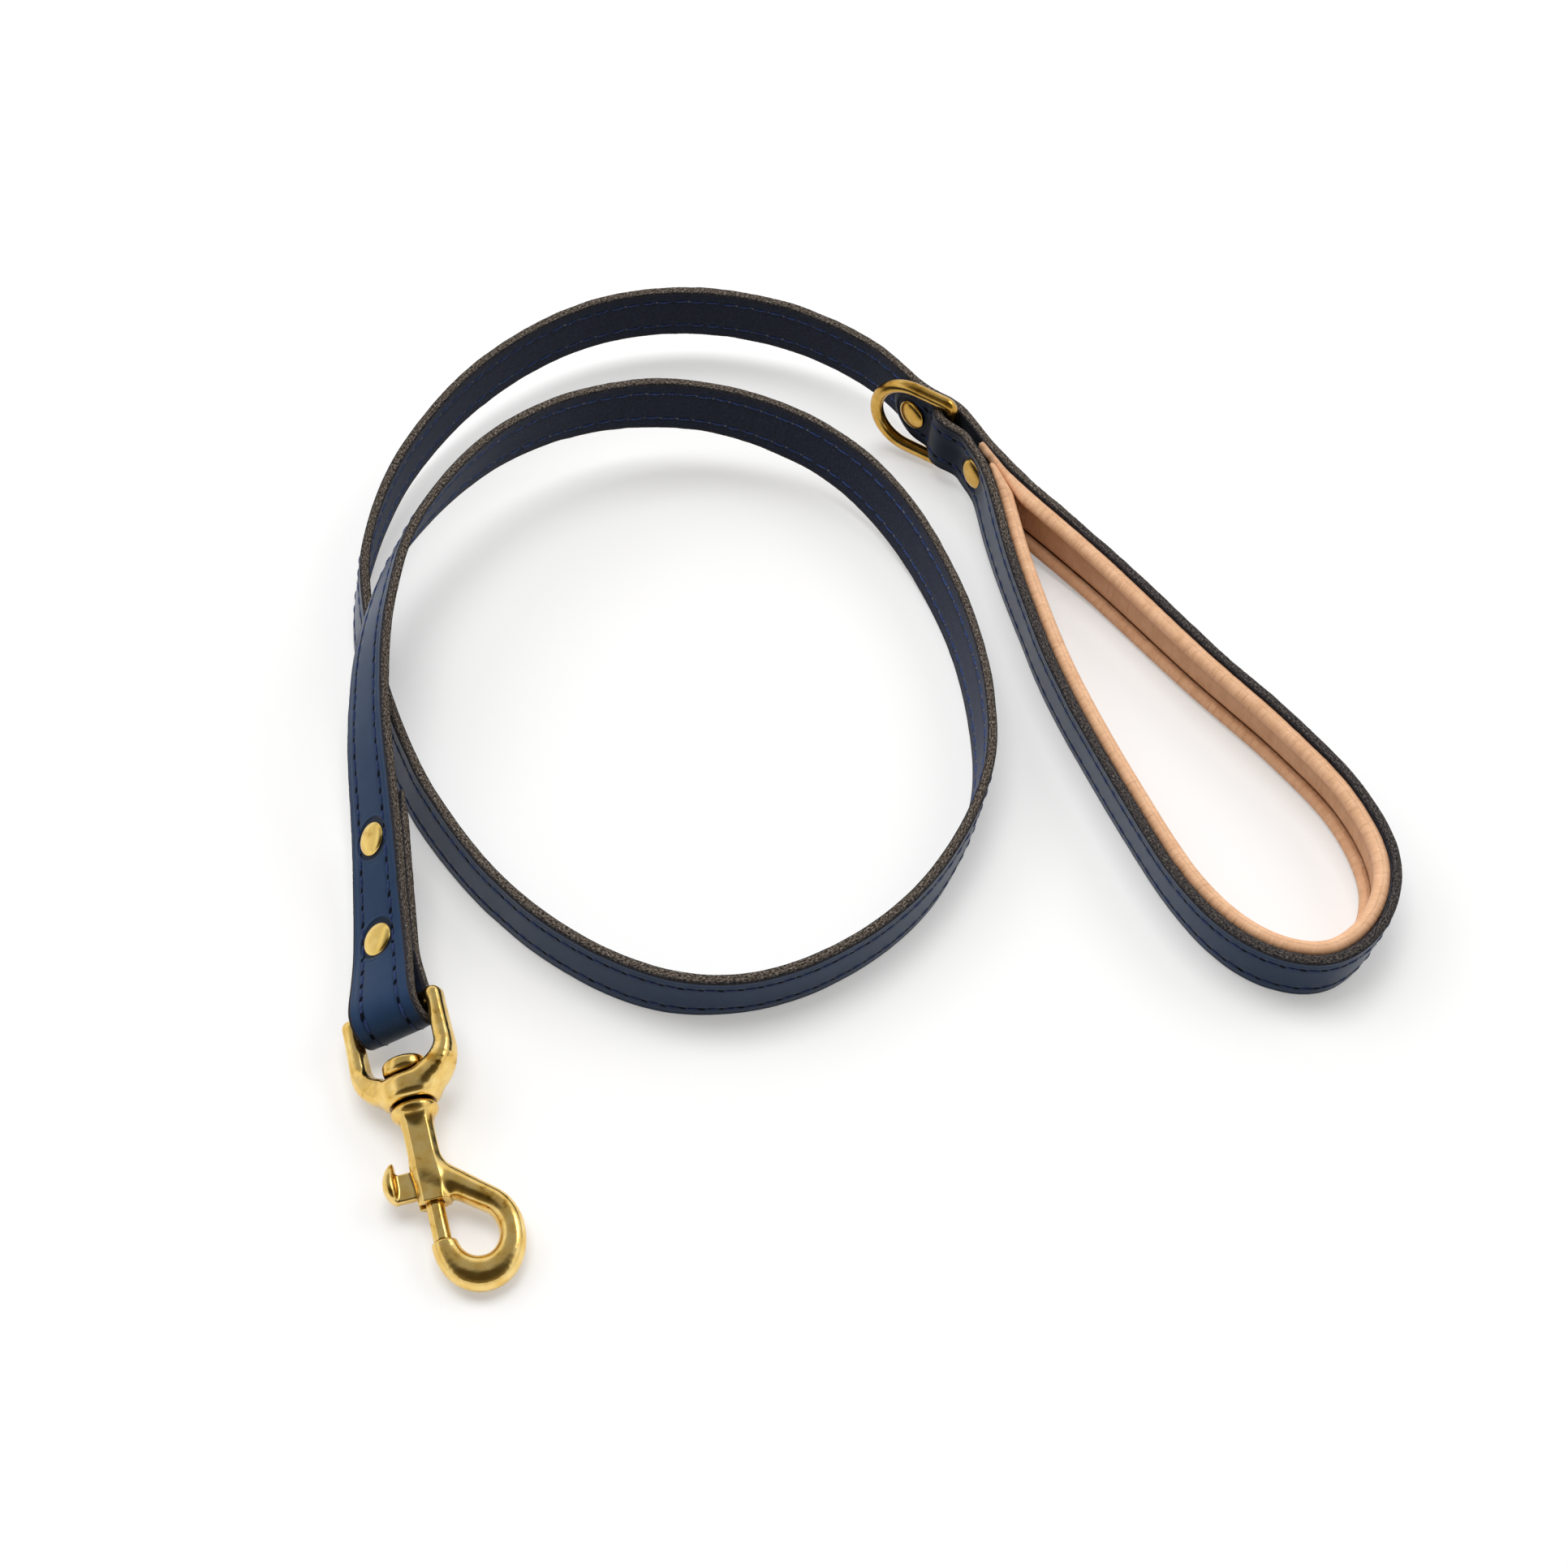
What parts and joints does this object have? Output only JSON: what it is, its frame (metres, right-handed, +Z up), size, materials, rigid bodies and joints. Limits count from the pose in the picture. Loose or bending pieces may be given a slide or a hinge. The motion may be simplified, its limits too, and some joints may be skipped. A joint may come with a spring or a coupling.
{
  "type": "leather lead",
  "caption": "Flat riveted leather lead lying in a loose loop, with a padded lined hand loop, a D-ring and a swivelling brass trigger hook",
  "frame": {"origin": "middle of the lead's outline, on the surface that it lies on", "axes": "+Z up from that surface; +Y away from the hook, along the longest extent; +X towards the hand loop"},
  "size_m": [0.2873, 0.3206, 0.0398],
  "materials": {
    "navy_leather": "smooth dyed grain, raw edges",
    "tan_leather": "soft matt lining leather",
    "aged_brass": "darkened satin brass",
    "cast_brass": "polished cast brass"
  },
  "bodies": {
    "lead": {"lead_strap": "navy_leather", "handle_strap": "navy_leather", "lining_backing": "tan_leather", "lining_panel": "tan_leather", "lining_roll_upper": "tan_leather", "lining_roll_lower": "tan_leather", "rivet_cap_1": "aged_brass", "rivet_cap_2": "aged_brass", "rivet_cap_3": "aged_brass", "rivet_cap_4": "aged_brass", "rivet_back_1": "aged_brass", "rivet_back_2": "aged_brass", "rivet_back_3": "aged_brass", "rivet_back_4": "aged_brass"},
    "ring": {"d_ring": "aged_brass"},
    "eye": {"swivel_eye": "cast_brass"},
    "hook": {"hook_body": "cast_brass", "swivel_stud": "cast_brass"},
    "trigger": {"trigger_bolt": "cast_brass", "trigger_thumb": "cast_brass"}
  },
  "joints": [
    {"name": "ring_swing", "type": "hinge", "parent": "lead", "child": "ring", "pos_m": [0.03066, 0.11081, 0.01483], "axis": [0.0874, 0.0006, 0.9962], "range_deg": [-10, 115]},
    {"name": "eye_swing", "type": "hinge", "parent": "lead", "child": "eye", "pos_m": [-0.1177, -0.087, 0.01158], "axis": [0.8917, 0.2032, 0.4045], "range_deg": [-80, 80]},
    {"name": "hook_swivel", "type": "hinge", "parent": "eye", "child": "hook", "pos_m": [-0.1177, -0.087, 0.01158], "axis": [0.2658, -0.9584, -0.1045], "continuous": true},
    {"name": "trigger_slide", "type": "slide", "parent": "hook", "child": "trigger", "axis": [0.2658, -0.9584, -0.1045], "range_m": [-0.009, 0], "stiffness_N_per_m": 300, "springref_m": 0.006}
  ]
}
